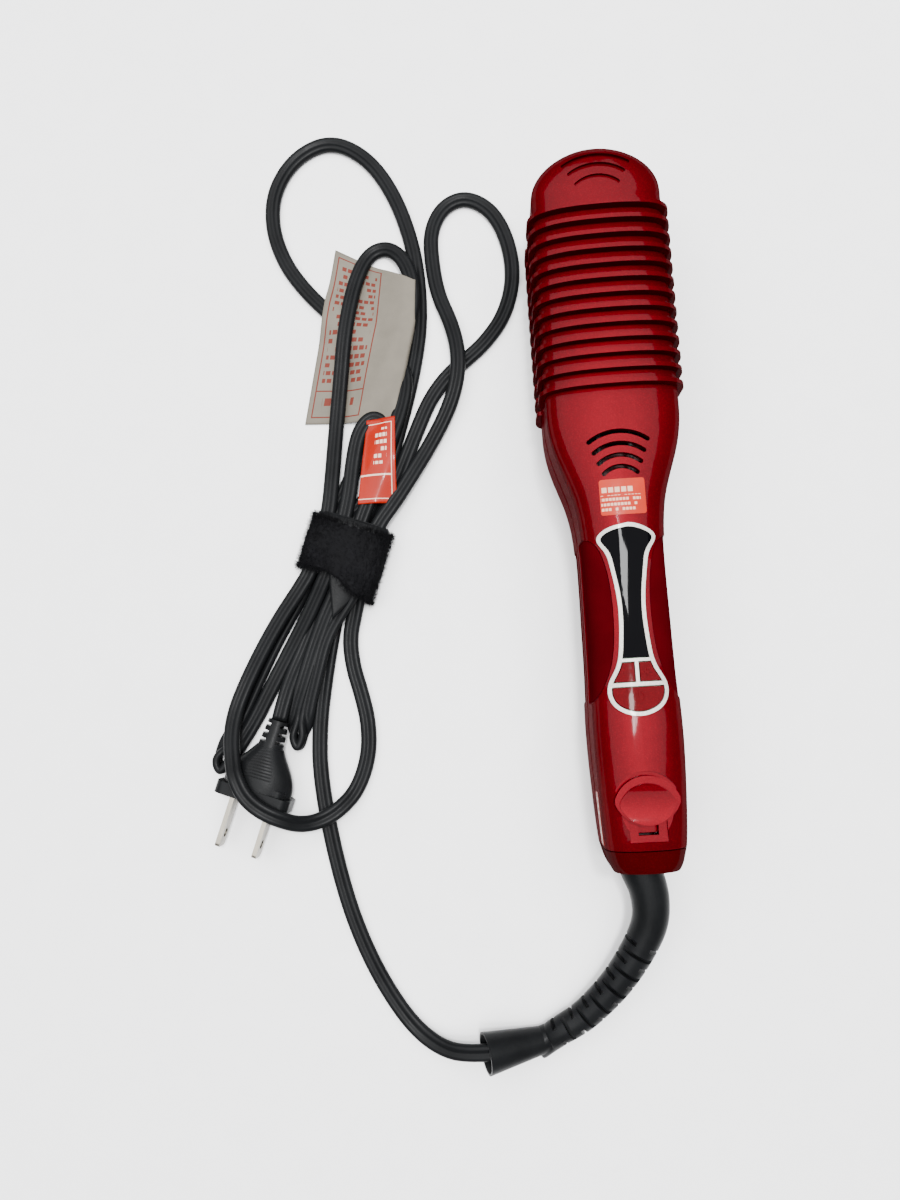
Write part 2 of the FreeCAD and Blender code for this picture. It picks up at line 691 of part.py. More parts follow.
def cord_entry():
    start = Vector(*BOOT_ROUTE[0])
    bush = rod(5.4, (0, along(0.1), start.z), (0, along(4.4), start.z))
    save("swivel_bush", bush.cut(rod(4.2, (0, along(-3), start.z), (0, along(7), start.z))))
    clamp = box(-6.5, 6.5, along(21), along(25), start.z + 1.5, start.z + 3.4)
    feet = [rod(1.0, (x, along(23), start.z - 3), (x, along(23), start.z + 4.2)) for x in (-4.8, 4.8)]
    save("cord_clamp", clamp.fuse(feet))
    lead = rounded_box(-CORD_WIDE / 2, CORD_WIDE / 2, along(4.5), along(30), start.z - 1.35,
                       start.z + 1.35, 1.0)
    wires = [wire((side * 3.7, along(27), start.z), (side * 4.5, along(150), start.z + 0.2),
                  (side * 1.2, 0, -0.8)) for side in (-1, 1)]
    save("supply_wires", lead, *wires)


# ---- bend protector -----------------------------------------------------------------------
def boot_curve():
    curve = Part.BSplineCurve()
    points = [Vector(*p) for p in BOOT_ROUTE]
    curve.interpolate(Points=points, InitialTangent=Vector(0, -1, 0), FinalTangent=flare_line()[1])
    return curve


def flare_line():
    """Where the flare starts, its direction and its length."""
    start = Vector(*BOOT_ROUTE[-1])
    line = Vector(*BOOT_END) - start
    return start, Vector(*line).normalize(), line.Length


def boot_spot(curve, share):
    """Point and direction at a share of the bend protector's length."""
    parameter = curve.FirstParameter + share * (curve.LastParameter - curve.FirstParameter)
    direction = Vector(*curve.tangent(parameter)[0])
    return curve.value(parameter), direction


def boot_radius(share):
    """Smooth sleeve, then a long taper down to the flare."""
    if share < 0.34:
        return BOOT_ROOT - 1.0 * share / 0.34
    return BOOT_ROOT - 1.0 - (BOOT_ROOT - 1.0 - BOOT_NECK) * (share - 0.34) / 0.66


def boot_slots(curve):
    """Pairs of slots that leave the boot's segments joined by webs, turned a quarter each time."""
    slots = []
    for i in range(BOOT_SLOTS):
        spot, direction = boot_spot(curve, 0.36 + 0.045 * i)
        across = direction.cross(Vector(0, 0, 1)).normalize()
        up = across.cross(direction).normalize()
        web = across if i % 2 else up
        other = up if i % 2 else across
        disc = Part.makeCylinder(8.0, 1.3, spot - direction * 0.65, direction)
        corner = spot - direction * 1.0 - web * 9.0 - other * 2.2
        plank = Part.Face(Part.makePolygon([corner, corner + other * 4.4, corner + other * 4.4 + web * 18,
                                            corner + web * 18, corner])).extrude(direction * 2.0)
        slots.append(disc.cut(plank))
    return slots


def strain_relief():
    curve = boot_curve()
    steps = 22
    rings = []
    for i in range(steps + 1):
        spot, direction = boot_spot(curve, i / steps)
        rings.append(Part.Wire(Part.makeCircle(boot_radius(i / steps), spot, direction)))
    body = Part.makeLoft(rings, True, False)
    start, direction, length = flare_line()
    flare = Part.makeCone(BOOT_NECK, BOOT_MOUTH, length, start, direction)
    hollow = Part.makeCone(2.6, BOOT_MOUTH - 0.5, 10.5, start + direction * (length - 10.0), direction)
    body = body.fuse(flare.cut(hollow))
    for slot in boot_slots(curve):
        body = body.cut(slot)
    sleeve = max(body.Solids, key=lambda solid: solid.Volume)
    neck = rod(4.2, (0, along(-0.4), CORD_EXIT), (0, along(4.4), CORD_EXIT))
    return sleeve.fuse(neck)


# ---- cord ---------------------------------------------------------------------------------
def cord_path():
    """Straight runs joined by tangent arcs. Prints the radii."""
    points = [Vector(*p) for p in CORD_ROUTE]
    edges = []
    start = points[0]
    for before, corner, after in zip(points, points[1:], points[2:]):
        back = before - corner
        ahead = after - corner
        turn = math.pi - back.getAngle(ahead)
        reach = CORD_ARC * min(back.Length, ahead.Length)
        print(f"cord corner at {corner.x:.0f} {corner.y:.0f}: turn {math.degrees(turn):.0f} degrees, "
              f"radius {reach / math.tan(turn / 2):.1f} mm")
        a = corner + back.normalize() * reach
        b = corner + ahead.normalize() * reach
        radius = reach / math.tan(turn / 2)
        inward = (back + ahead).normalize()
        middle = corner + inward * (radius / math.cos(turn / 2) - radius)
        edges.append(Part.LineSegment(start, a).toShape())
        edges.append(Part.Arc(a, middle, b).toShape())
        start = b
    edges.append(Part.LineSegment(start, points[-1]).toShape())
    return Part.Wire(edges)


def cord_tube():
    path = cord_path()
    direction = path.Edges[0].tangentAt(path.Edges[0].FirstParameter)
    ring = Part.Wire(Part.makeCircle(CORD_THICK / 2, Vector(*CORD_ROUTE[0]), direction))
    tube = path.makePipeShell([ring], True, False)
    expected = math.pi * (CORD_THICK / 2) ** 2 * path.Length
    print(f"cord tube length {path.Length:.1f} mm, volume {tube.Volume:.0f}, expected {expected:.0f}")
    return tube


def cord_bundle():
    """Closed outer shape of the folded cord."""
    block = prism(smooth_outline(BUNDLE_OUTLINE), 0, BUNDLE_HIGH)
    return block.cut(placed_on_plug(box(-14.5, 24.0, -28.5, 19.0, -1, PLUG_HIGH + 1)))


# ---- plug ---------------------------------------------------------------------------------
def placed_on_plug(shape):
    """From the plug's own frame (+Y along the blades, from the flange) to where it lies."""
    shape = shape.copy()
    shape.rotate(Vector(0, 0, 0), Vector(0, 0, 1), PLUG_TURN - 90)
    shape.translate(Vector(PLUG_SPOT[0], PLUG_SPOT[1], 0))
    return shape


def plug_body():
    middle = PLUG_HIGH / 2
    flange = rounded_upright(12.6, -4.0, 0.0, middle, PLUG_HIGH / 2, 3.0)
    neck = rounded_upright(10.4, -6.0, -3.8, middle, 5.0, 3.0)
    rows = ((-4.0, 11.6, 5.9), (-9.5, 10.6, 5.7), (-15.0, 7.0, 4.9), (-18.5, 4.6, 4.0))
    rings = [turned_ring(y, half, tall, middle) for y, half, tall in rows]
    body = Part.makeLoft(rings, True, False)
    tail_rows = ((-18.0, 4.4, 3.9), (-27.5, 3.4, 3.0))
    tail = Part.makeLoft([turned_ring(y, half, tall, middle) for y, half, tall in tail_rows], True, True)
    for y in (-20.6, -23.2, -25.8):
        tail = tail.cut(box(-9, -1.6, y - 0.5, y + 0.5, 0, PLUG_HIGH))
        tail = tail.cut(box(1.6, 9, y - 0.5, y + 0.5, 0, PLUG_HIGH))
    plug = flange.fuse([neck, body, tail]).cut(plug_blades())
    return plug.cut(finger_grooves(middle))


def finger_grooves(middle):
    """Fine grooves across both faces of the plug, for a hold."""
    grooves = []
    for i in range(10):
        y = -8.4 - 1.0 * i
        half = 4.6 - 0.12 * i
        depth = 5.15 - 0.09 * i - 0.06 * max(0, i - 4)
        grooves.append(box(-half, half, y - 0.25, y + 0.25, middle + depth, PLUG_HIGH + 2))
        grooves.append(box(-half, half, y - 0.25, y + 0.25, -2, middle - depth))
    return grooves


def turned_ring(y, half, tall, middle):
    """Upright ellipse across the plug's axis."""
    ellipse = Part.Ellipse(Vector(0, 0, 0), half, tall).toShape()
    ellipse.rotate(Vector(0, 0, 0), Vector(1, 0, 0), 90)
    ellipse.translate(Vector(0, y, middle))
    return Part.Wire(ellipse)


def rounded_upright(half, y0, y1, middle, tall, radius):
    block = box(-half, half, y0, y1, middle - tall, middle + tall)
    long_edges = [e for e in block.Edges if abs(e.tangentAt(e.FirstParameter).y) > 0.99]
    return block.makeFillet(radius, long_edges)


def plug_blades():
    blades = []
    for side in (-1, 1):
        x = side * 6.35
        middle = PLUG_HIGH / 2
        blade = box(x - 0.75, x + 0.75, -1.0, 17.0, middle - 3.15, middle + 3.15)
        tips = [e for e in blade.Edges if e.BoundBox.YMin > 16.9 and e.BoundBox.XLength > 1]
        blade = blade.makeFillet(1.2, tips)
        blades.append(blade.cut(rod(1.5, (x - 2, 12.5, middle), (x + 2, 12.5, middle))))
    return blades


# ---- tie and tags -------------------------------------------------------------------------
TIE_SPOT = (-89.6, -5.2)
TIE_TURN = -20.0
TIE_HALF = 14.0           # half width across the bundle
TIE_LONG = 17.6           # width of the strap, along the bundle
TIE_HIGH = 9.6
TIE_THICK = 1.7


def cable_tie():
    """Hook-and-loop strap wound round the bundle's waist, with its loose pointed end."""
    ring = rounded_along(TIE_HALF, TIE_LONG, 0, TIE_HIGH, 4.0)
    hole = rounded_along(TIE_HALF - TIE_THICK, TIE_LONG + 2, TIE_THICK, TIE_HIGH - TIE_THICK, 2.6)
    loop = ring.cut(hole)
    loop.rotate(Vector(0, 0, 0), Vector(0, 0, 1), TIE_TURN)
    loop.translate(Vector(TIE_SPOT[0], TIE_SPOT[1], 0))
    tail = polygon_prism(((-94.0, -10.0), (-83.0, -14.5), (-84.0, -19.5), (-94.5, -29.5)), BUNDLE_HIGH, TIE_HIGH)
    return loop.fuse(tail)


def rounded_along(half, length, low, high, radius):
    """Block across the bundle whose edges along it are rounded."""
    block = box(-half, half, -length / 2, length / 2, low, high)
    edges = [e for e in block.Edges if abs(e.tangentAt(e.FirstParameter).y) > 0.99]
    return block.makeFillet(radius, edges)


def tags():
    low = BUNDLE_HIGH + 0.1
    paper = ((-88.0, 103.0), (-61.0, 93.0), (-62.5, 76.0), (-69.5, 40.5), (-84.5, 39.5), (-100.5, 41.0))
    orange = ((-78.5, 39.0), (-69.5, 39.5), (-70.5, 9.5), (-83.5, 9.5))
    save("paper_tag", polygon_prism(paper, low, low + 0.4))
    save("orange_tag", polygon_prism(orange, low, low + 0.4))


# ---- labels -------------------------------------------------------------------------------
def labels():
    sheet = band(-0.14, -0.01)
    save("caution_label", sheet.common(rounded_box(-6.7, 6.7, along(103.9), along(114.6), 30, 60, 0.8)))
    flag = rounded_box(-30, -5, along(7.6), along(23.0), PARTING + 3.0, PARTING + 8.4, 0.2)
    save("side_label", sheet.common(flag))


# ---- arms ---------------------------------------------------------------------------------
def covers():
    cover = bare_cover().cut([grip_pocket(), flipped(grip_pocket())])
    rest = oval(REST_HALF, REST_REAR, REST_FRONT, CROWN - 2.2, PARTING)
    rest = rest.makeFillet(1.4, [e for e in rest.Edges if e.BoundBox.ZMin > 2 * PARTING - 0.01])
    save("lower_cover", mirrored(cover.fuse(rest)))
    deck_plate = oval(9.2, 8.8, 29.0, 15.4, DECK).common(skin(0.5, 2))
    upper = cover.cut(slide_deck()[:1]).fuse(deck_plate).cut(slide_deck()[1:])
    save("upper_cover", upper.cut(island(0.06)))


def paired(name, shape):
    """The same piece in both arms."""
    save(f"upper_{name}", shape)
    save(f"lower_{name}", mirrored(shape))


def main():
    os.makedirs("parts", exist_ok=True)
    covers()
    save("upper_lid", upper_lid())
    save("lower_lid", lower_lid())
    paired("plate_carrier", carrier())
    paired("heating_plate", heating_plate())
    paired("heater", heater())
    paired("heat_shield", heat_shield())
    paired("grip_right", grip())
    paired("grip_left", flipped(grip()))
    screws("upper_screws", lambda shape: shape)
    screws("lower_screws", mirrored)
    thermal_sensors()
    control_parts()
    electronics()
    upper_leads = [wire((side * 4.4, along(103.6), PARTING + 12.6), (side * 4.4, along(150), PARTING + 8.6),
                        (side * 0.4, 0, 0.8)) for side in (-1, 1)]
    save("heater_wires", *upper_leads)
    save("lock_slide", lock_slide())
    detent_spring()
    latch_catch()
    hinge_parts()
    save("upper_end_cap", upper_end_cap())
    save("lower_end_cap", lower_end_cap())
    cord_entry()
    save("strain_relief", strain_relief())
    save("cord_tube", cord_tube())
    tie = cable_tie()
    save("cable_tie", tie)
    save("cord_bundle", cord_bundle().cut(tie))
    save("plug_body", placed_on_plug(plug_body()))
    save("plug_blades", *[placed_on_plug(blade) for blade in plug_blades()])
    tags()
    labels()


main()
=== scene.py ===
"""Looks of the hair-straightening iron: camera, stage, materials, flat cord, strap and tags.

Metres, in the CAD's frame: +Z is up, +Y runs from the hinge end to the nose, and the iron lies on
the floor. Routes and outlines are written in millimetres and scaled by MM.
"""
import bpy
import math
import random
from mathutils import Matrix, Vector, noise


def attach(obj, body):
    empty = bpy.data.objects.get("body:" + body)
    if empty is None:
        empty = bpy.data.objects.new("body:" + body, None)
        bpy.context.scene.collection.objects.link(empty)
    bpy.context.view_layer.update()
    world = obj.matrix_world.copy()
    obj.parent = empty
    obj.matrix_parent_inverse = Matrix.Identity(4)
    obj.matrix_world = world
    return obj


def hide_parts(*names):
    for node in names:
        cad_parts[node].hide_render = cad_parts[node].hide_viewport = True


MM = 0.001
SEED = 7
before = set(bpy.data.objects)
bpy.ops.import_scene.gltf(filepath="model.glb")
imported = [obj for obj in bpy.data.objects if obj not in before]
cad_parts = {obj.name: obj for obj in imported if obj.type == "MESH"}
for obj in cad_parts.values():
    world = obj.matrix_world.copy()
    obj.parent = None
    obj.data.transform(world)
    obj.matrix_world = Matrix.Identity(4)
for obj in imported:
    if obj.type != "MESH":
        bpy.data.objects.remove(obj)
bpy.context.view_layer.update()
random.seed(SEED)


# ---- camera, light and floor ---------------------------------------------------------------
LENS = 27.0
CAMERA_PLACE = (-0.03986, -0.05908, 0.305)
CAMERA_TILT = (6.340, 3.160, -3.344)

# place, target, size and power of each lamp
LAMPS = {
    "softbox": ((-0.2, 0.3, 1.6), (-0.05, 0.0, 0.0), (3.0, 2.6), 165.0),
    "front_lamp": ((0.08, 0.15, 1.3), (0.0, 0.0, 0.0), (0.12, 0.12), 20.0),
    "rear_lamp": ((0.04, -0.1, 1.3), (0.0, 0.0, 0.0), (0.1, 0.12), 8.0),
}
SKY = (0.95, 0.97, 1.0, 1.0)
SKY_STRENGTH = 0.35
FLOOR_COLOR = (0.74, 0.74, 0.745)
FLOOR_HALF = 4.0
FLOOR_DROP = 0.0002


def make_camera():
    """A lens about 305 mm above the floor, looking almost straight down."""
    data = bpy.data.cameras.new("camera")
    data.lens = LENS
    data.sensor_width = 36.0
    camera = bpy.data.objects.new("camera", data)
    camera.location = CAMERA_PLACE
    camera.rotation_euler = [math.radians(a) for a in CAMERA_TILT]
    bpy.context.scene.collection.objects.link(camera)
    bpy.context.scene.camera = camera


def area_light(name, place, target, size, power):
    data = bpy.data.lights.new(name, "AREA")
    data.shape = "RECTANGLE"
    data.size = size[0]
    data.size_y = size[1]
    data.energy = power
    light = bpy.data.objects.new(name, data)
    light.location = place
    light.rotation_euler = (Vector(target) - Vector(place)).to_track_quat("-Z", "Y").to_euler()
    bpy.context.scene.collection.objects.link(light)


def make_stage():
    """A wide pale floor under one large soft key light and two small bright ones for highlights."""
    scene = bpy.context.scene
    scene.world = bpy.data.worlds.new("studio")
    scene.world.use_nodes = True
    sky = scene.world.node_tree.nodes["Background"]
    sky.inputs["Color"].default_value = SKY
    sky.inputs["Strength"].default_value = SKY_STRENGTH
    for name, settings in LAMPS.items():
        area_light(name, *settings)
    mesh = bpy.data.meshes.new("floor")
    corners = [(x * FLOOR_HALF, y * FLOOR_HALF, 0.0) for x, y in ((-1, -1), (1, -1), (1, 1), (-1, 1))]
    mesh.from_pydata(corners, [], [(0, 1, 2, 3)])
    floor = bpy.data.objects.new("floor", mesh)
    floor.location = (0.0, 0.0, -FLOOR_DROP)
    mesh.materials.append(plastic("floor_white", FLOOR_COLOR, 0.75, 300.0, 0.00002, tint=0.02, gloss=0.1))
    scene.collection.objects.link(floor)


# ---- node wiring ---------------------------------------------------------------------------
class Wiring:
    """A material's node tree with short calls for the nodes used here."""

    def __init__(self, name):
        self.material = bpy.data.materials.new(name)
        self.material.use_nodes = True
        self.tree = self.material.node_tree
        self.shader = self.tree.nodes["Principled BSDF"]
        self.place = self.tree.nodes.new("ShaderNodeTexCoord").outputs["Object"]

    def put(self, socket, value):
        if isinstance(value, bpy.types.NodeSocket):
            self.tree.links.new(value, socket)
        else:
            socket.default_value = value

    def node(self, kind, values=None, **properties):
        made = self.tree.nodes.new(kind)
        for key, value in properties.items():
            setattr(made, key, value)
        for key, value in (values or {}).items():
            self.put(made.inputs[key], value)
        return made

    def set(self, **values):
        for key, value in values.items():
            self.put(self.shader.inputs[key.replace("_", " ")], value)

    def math(self, operation, a, b=0.0, c=0.0):
        return self.node("ShaderNodeMath", {0: a, 1: b, 2: c}, operation=operation).outputs[0]

    def noise(self, scale, detail=2.0, place=None):
        values = {"Vector": place or self.place, "Scale": scale, "Detail": detail}
        return self.node("ShaderNodeTexNoise", values).outputs["Fac"]

    def stretched(self, scale, turn=0.0):
        values = {"Vector": self.place, "Scale": scale, "Rotation": (0.0, 0.0, turn)}
        return self.node("ShaderNodeMapping", values).outputs["Vector"]

    def ranged(self, value, low, high, new_low, new_high):
        values = {"Value": value, "From Min": low, "From Max": high, "To Min": new_low, "To Max": new_high}
        return self.node("ShaderNodeMapRange", values).outputs["Result"]

    def mix(self, share, first, second):
        made = self.node("ShaderNodeMix", data_type="RGBA")
        self.put(made.inputs["Factor"], share)
        for socket, value in ((made.inputs[6], first), (made.inputs[7], second)):
            self.put(socket, value if isinstance(value, bpy.types.NodeSocket) else (*value, 1.0))
        return made.outputs[2]

    def bump(self, height, distance, strength=1.0, normal=None):
        made = self.node("ShaderNodeBump", {"Height": height, "Distance": distance, "Strength": strength})
        if normal is not None:
            self.put(made.inputs["Normal"], normal)
        return made.outputs["Normal"]


def darker(color, share):
    return tuple(c * (1.0 - share) for c in color)


# ---- finishes ------------------------------------------------------------------------------
def plastic(name, color, rough, grain, depth, tint=0.12, coat=0.0, gloss=0.3):
    """Moulded plastic, rubber or ceramic: slow colour and gloss drift with a fine grain."""
    w = Wiring(name)
    drift = w.noise(90.0, 3.0)
    w.set(Base_Color=w.mix(w.ranged(drift, 0.35, 0.65, 0.0, 1.0), color, darker(color, tint)))
    w.set(Roughness=w.ranged(w.noise(420.0, 2.0), 0.3, 0.7, rough - 0.035, rough + 0.035))
    w.set(Coat_Weight=coat, Specular_IOR_Level=gloss)
    w.set(Normal=w.bump(w.noise(grain, 3.0), depth))
    return w.material


def candy(name, color, rough=0.38, metallic=0.5, coat=0.019):
    """Metallic candy lacquer: fine flakes under a clear coat, with a faint orange-peel ripple."""
    w = Wiring(name)
    cells = w.node("ShaderNodeTexVoronoi", {"Vector": w.place, "Scale": 5200.0})
    flake = w.node("ShaderNodeSeparateColor", {"Color": cells.outputs["Color"]}).outputs[0]
    drift = w.ranged(w.noise(60.0, 2.0), 0.3, 0.7, 0.0, 1.0)
    body = w.mix(drift, color, darker(color, 0.16))
    bright = tuple(c * 1.6 for c in color)
    w.set(Base_Color=w.mix(w.ranged(flake, 0.72, 1.0, 0.0, 0.8), body, bright))
    w.set(Roughness=w.ranged(flake, 0.0, 1.0, rough - 0.05, rough + 0.09))
    w.set(Metallic=metallic, Specular_IOR_Level=0.0, Specular_Tint=(0.2, 0.0, 0.004, 1.0))
    w.set(Coat_Weight=coat, Coat_Roughness=0.06, Coat_IOR=2.4)
    w.set(Normal=w.bump(flake, 0.000012, 0.6, w.bump(w.noise(260.0, 1.0), 0.00003)))
    w.set(Coat_Normal=w.bump(w.noise(240.0, 1.0), 0.00002))
    return w.material


def brushed(name, color, rough, stretch=(900.0, 40.0, 900.0), turn=0.0):
    """Metal with fine lines along the axis that has the smallest stretch, turned in plan."""
    w = Wiring(name)
    lines = w.noise(1.0, 4.0, w.stretched(stretch, turn))
    w.set(Base_Color=w.mix(w.ranged(lines, 0.3, 0.7, 0.0, 1.0), color, darker(color, 0.2)))
    w.set(Roughness=w.ranged(lines, 0.3, 0.7, rough - 0.07, rough + 0.1))
    w.set(Metallic=1.0)
    w.set(Normal=w.bump(lines, 0.00002, 0.5))
    return w.material


def circuit(name):
    """Green solder mask with a web of slightly raised copper tracks."""
    w = Wiring(name)
    values = {"Vector": w.stretched((420.0, 420.0, 420.0), 0.78), "Scale": 1.0, "Mortar Size": 0.06}
    tracks = w.node("ShaderNodeTexBrick", values).outputs["Fac"]
    w.set(Base_Color=w.mix(tracks, (0.01, 0.10, 0.035), (0.03, 0.20, 0.06)), Roughness=0.35)
    w.set(Normal=w.bump(tracks, 0.00003))
    return w.material


def printed_panel(w, across, up, panel, pitch, block, seed):
    """Mask of generic rows of short bars inside a panel (left, right, bottom, top), in millimetres."""
    left, right, bottom, top = panel
    row = w.math("FLOOR", w.math("DIVIDE", up, pitch))
    in_row = w.math("FRACT", w.math("DIVIDE", up, pitch))
    tall = w.math("MULTIPLY", w.math("GREATER_THAN", in_row, 0.28), w.math("LESS_THAN", in_row, 0.82))
    shifted = w.math("ADD", w.math("DIVIDE", across, block), w.math("MULTIPLY", row, 0.37))
    in_block = w.math("FRACT", shifted)
    wide = w.math("MULTIPLY", w.math("GREATER_THAN", in_block, 0.14), w.math("LESS_THAN", in_block, 0.9))
    spot = w.node("ShaderNodeCombineXYZ", {0: w.math("FLOOR", shifted), 1: row, 2: seed}).outputs[0]
    kept = w.math("GREATER_THAN", w.node("ShaderNodeTexWhiteNoise", {"Vector": spot}).outputs["Value"], 0.2)
    mask = w.math("MULTIPLY", w.math("MULTIPLY", tall, wide), kept)
    return w.math("MULTIPLY", mask, inside(w, across, up, left, right, bottom, top))


def box_distance(w, across, up, left, right, bottom, top):
    """Distance outside a rectangle's sides, negative inside it, in millimetres."""
    x = w.math("ABSOLUTE", w.math("SUBTRACT", across, (left + right) / 2))
    y = w.math("ABSOLUTE", w.math("SUBTRACT", up, (bottom + top) / 2))
    return w.math("MAXIMUM", w.math("SUBTRACT", x, (right - left) / 2),
                  w.math("SUBTRACT", y, (top - bottom) / 2))


def inside(w, across, up, left, right, bottom, top):
    return w.math("LESS_THAN", box_distance(w, across, up, left, right, bottom, top), 0.0)


def outline(w, across, up, panel, width):
    distance = w.math("ABSOLUTE", box_distance(w, across, up, *panel))
    return w.math("LESS_THAN", distance, width / 2)


PRINT_GRAIN = 900.0
PRINT_GLOSS = 0.06


def printed(name, ground, ink, rough, coords, panels, borders, coat=0.0):
    """Paper or film with rows of generic bars and thin border lines.

    panels holds (left, right, bottom, top), row pitch and bar length; borders holds the same kind of
    rectangle and a line width. All of them are in millimetres.
    """
    w = Wiring(name)
    across, up = coords(w)
    mask = 0.0
    for number, (panel, pitch, block) in enumerate(panels):
        mask = w.math("MAXIMUM", mask, printed_panel(w, across, up, panel, pitch, block, number * 7.0))
    for panel, width in borders:
        mask = w.math("MAXIMUM", mask, outline(w, across, up, panel, width))
    drift = w.ranged(w.noise(140.0, 3.0), 0.3, 0.7, 0.0, 1.0)
    body = w.mix(drift, ground, darker(ground, 0.13))
    w.set(Base_Color=w.mix(w.math("MULTIPLY", mask, 0.88), body, ink))
    w.set(Roughness=w.ranged(w.noise(PRINT_GRAIN, 2.0), 0.3, 0.7, rough - 0.06, rough + 0.06))
    w.set(Coat_Weight=coat, Coat_Roughness=0.1, Specular_IOR_Level=PRINT_GLOSS)
    dents = w.bump(w.noise(70.0, 1.0), 0.0004, 0.5)
    w.set(Normal=w.bump(w.noise(PRINT_GRAIN, 3.0), 0.00003, 1.0, dents))
    return w.material


CAUTION_MIDDLE = (-0.6, -1.75)


def top_label_coords(w):
    """Millimetre coordinates in the floor plane about the top label's middle."""
    parts = w.node("ShaderNodeSeparateXYZ", {0: w.place}).outputs
    return [w.math("SUBTRACT", w.math("MULTIPLY", parts[axis], 1000.0), CAUTION_MIDDLE[axis])
            for axis in (0, 1)]


def side_label_coords(w):
    """Millimetre coordinates on an upright side wall: along the iron and up."""
    parts = w.node("ShaderNodeSeparateXYZ", {0: w.place}).outputs
    return w.math("MULTIPLY", parts[1], 1000.0), w.math("MULTIPLY", parts[2], 1000.0)


UV_SHARE = 100.0


def sheet_coords(w):
    """Millimetre coordinates kept in a tag's own UV map, which holds a hundredth of them."""
    parts = w.node("ShaderNodeSeparateXYZ", {0: w.node("ShaderNodeUVMap").outputs[0]}).outputs
    return w.math("MULTIPLY", parts[0], UV_SHARE), w.math("MULTIPLY", parts[1], UV_SHARE)


ARROW_TIP = -102.6
ARROW_BACK = -99.4
ARROW_LEVEL = 28.7
ARROW_SLOPE = 0.62
SHAFT = (-99.5, -96.4, 28.0, 29.4)
BAR_STARTS = (-94.6, -92.6, -90.6)
BAR_WIDE = 0.9


def arrow_label(name, ground, ink):
    """Orange film with a generic arrow to the hinge end and three short bars."""
    w = Wiring(name)
    along, up = side_label_coords(w)
    off = w.math("ABSOLUTE", w.math("SUBTRACT", up, ARROW_LEVEL))
    from_tip = w.math("SUBTRACT", along, ARROW_TIP)
    reach = w.math("MINIMUM", from_tip, ARROW_BACK - ARROW_TIP)
    head = w.math("LESS_THAN", off, w.math("MULTIPLY", reach, ARROW_SLOPE))
    head = w.math("MULTIPLY", head, inside(w, along, up, ARROW_TIP, ARROW_BACK, 26.0, 31.4))
    mask = w.math("MAXIMUM", head, inside(w, along, up, *SHAFT))
    for start in BAR_STARTS:
        mask = w.math("MAXIMUM", mask, inside(w, along, up, start, start + BAR_WIDE, 27.2, 30.4))
    w.set(Base_Color=w.mix(mask, ground, ink), Specular_IOR_Level=PRINT_GLOSS)
    w.set(Roughness=w.ranged(w.noise(PRINT_GRAIN, 2.0), 0.3, 0.7, 0.34, 0.46))
    w.set(Normal=w.bump(w.noise(PRINT_GRAIN, 3.0), 0.00003))
    return w.material


RED = (0.056, 0.0005, 0.0024)
BLACK = (0.0045, 0.0048, 0.0052)
LENS_BLACK = (0.0012, 0.0012, 0.0016)

# each slot's finish, built once
FINISHES = {
    "red_gloss": lambda: candy("candy_red", RED),
    # cap_red: a darker red than the body, which paints in the shade that falls on the low, sloping end cap
    "cap_red": lambda: candy("cap_red", (0.022, 0.0002, 0.0006), 0.4, 0.0, 0.02),
    "grip_red": lambda: plastic("grip_red", (0.034, 0.0005, 0.0018), 0.45, 2600.0, 0.00004, 0.2, gloss=0.0),
    "button_red": lambda: candy("button_red", (0.056, 0.0004, 0.0018), 0.4, 0.0, 0.015),
    "pearl": lambda: candy("pearl_silver", (0.36, 0.345, 0.315), 0.3, 0.1, 0.06),
    "black_lens": lambda: plastic("black_lens", LENS_BLACK, 0.07, 200.0, 0.000006, 0.1, 0.03, gloss=0.0),
    "heat_black": lambda: plastic("heat_black", (0.005, 0.005, 0.0055), 0.5, 1800.0, 0.00004, gloss=0.1),
    "lid_red": lambda: plastic("lid_red", (0.03, 0.0004, 0.0009), 0.4, 1500.0, 0.00003, gloss=0.1),
    "plate": lambda: brushed("plate_titanium", (0.34, 0.31, 0.35), 0.24),
    "heater": lambda: plastic("heater_ceramic", (0.62, 0.58, 0.52), 0.7, 2400.0, 0.00006),
    "steel": lambda: brushed("steel", (0.55, 0.56, 0.58), 0.3, (40.0, 900.0, 900.0)),
    "board": lambda: circuit("board_green"),
    "part_black": lambda: plastic("part_black", (0.006, 0.006, 0.0065), 0.45, 2200.0, 0.00003, gloss=0.05),
    "module": lambda: plastic("module_grey", (0.30, 0.31, 0.32), 0.4, 1500.0, 0.00003),
    "wire": lambda: plastic("wire_silicone", (0.025, 0.024, 0.024), 0.5, 1400.0, 0.00004),
    "nylon": lambda: plastic("nylon_natural", (0.50, 0.48, 0.42), 0.45, 1300.0, 0.00003),
    "cord_black": lambda: plastic("cord_black", BLACK, 0.36, 1900.0, 0.00004, 0.3, gloss=0.05),
    "strap": lambda: plastic("strap_black", (0.0016, 0.0016, 0.0022), 0.8, 2600.0, 0.00012, 0.4, gloss=0.08),
    "nickel": lambda: brushed("nickel", (0.20, 0.185, 0.155), 0.3, (500.0, 60.0, 500.0), turn=0.36),
}


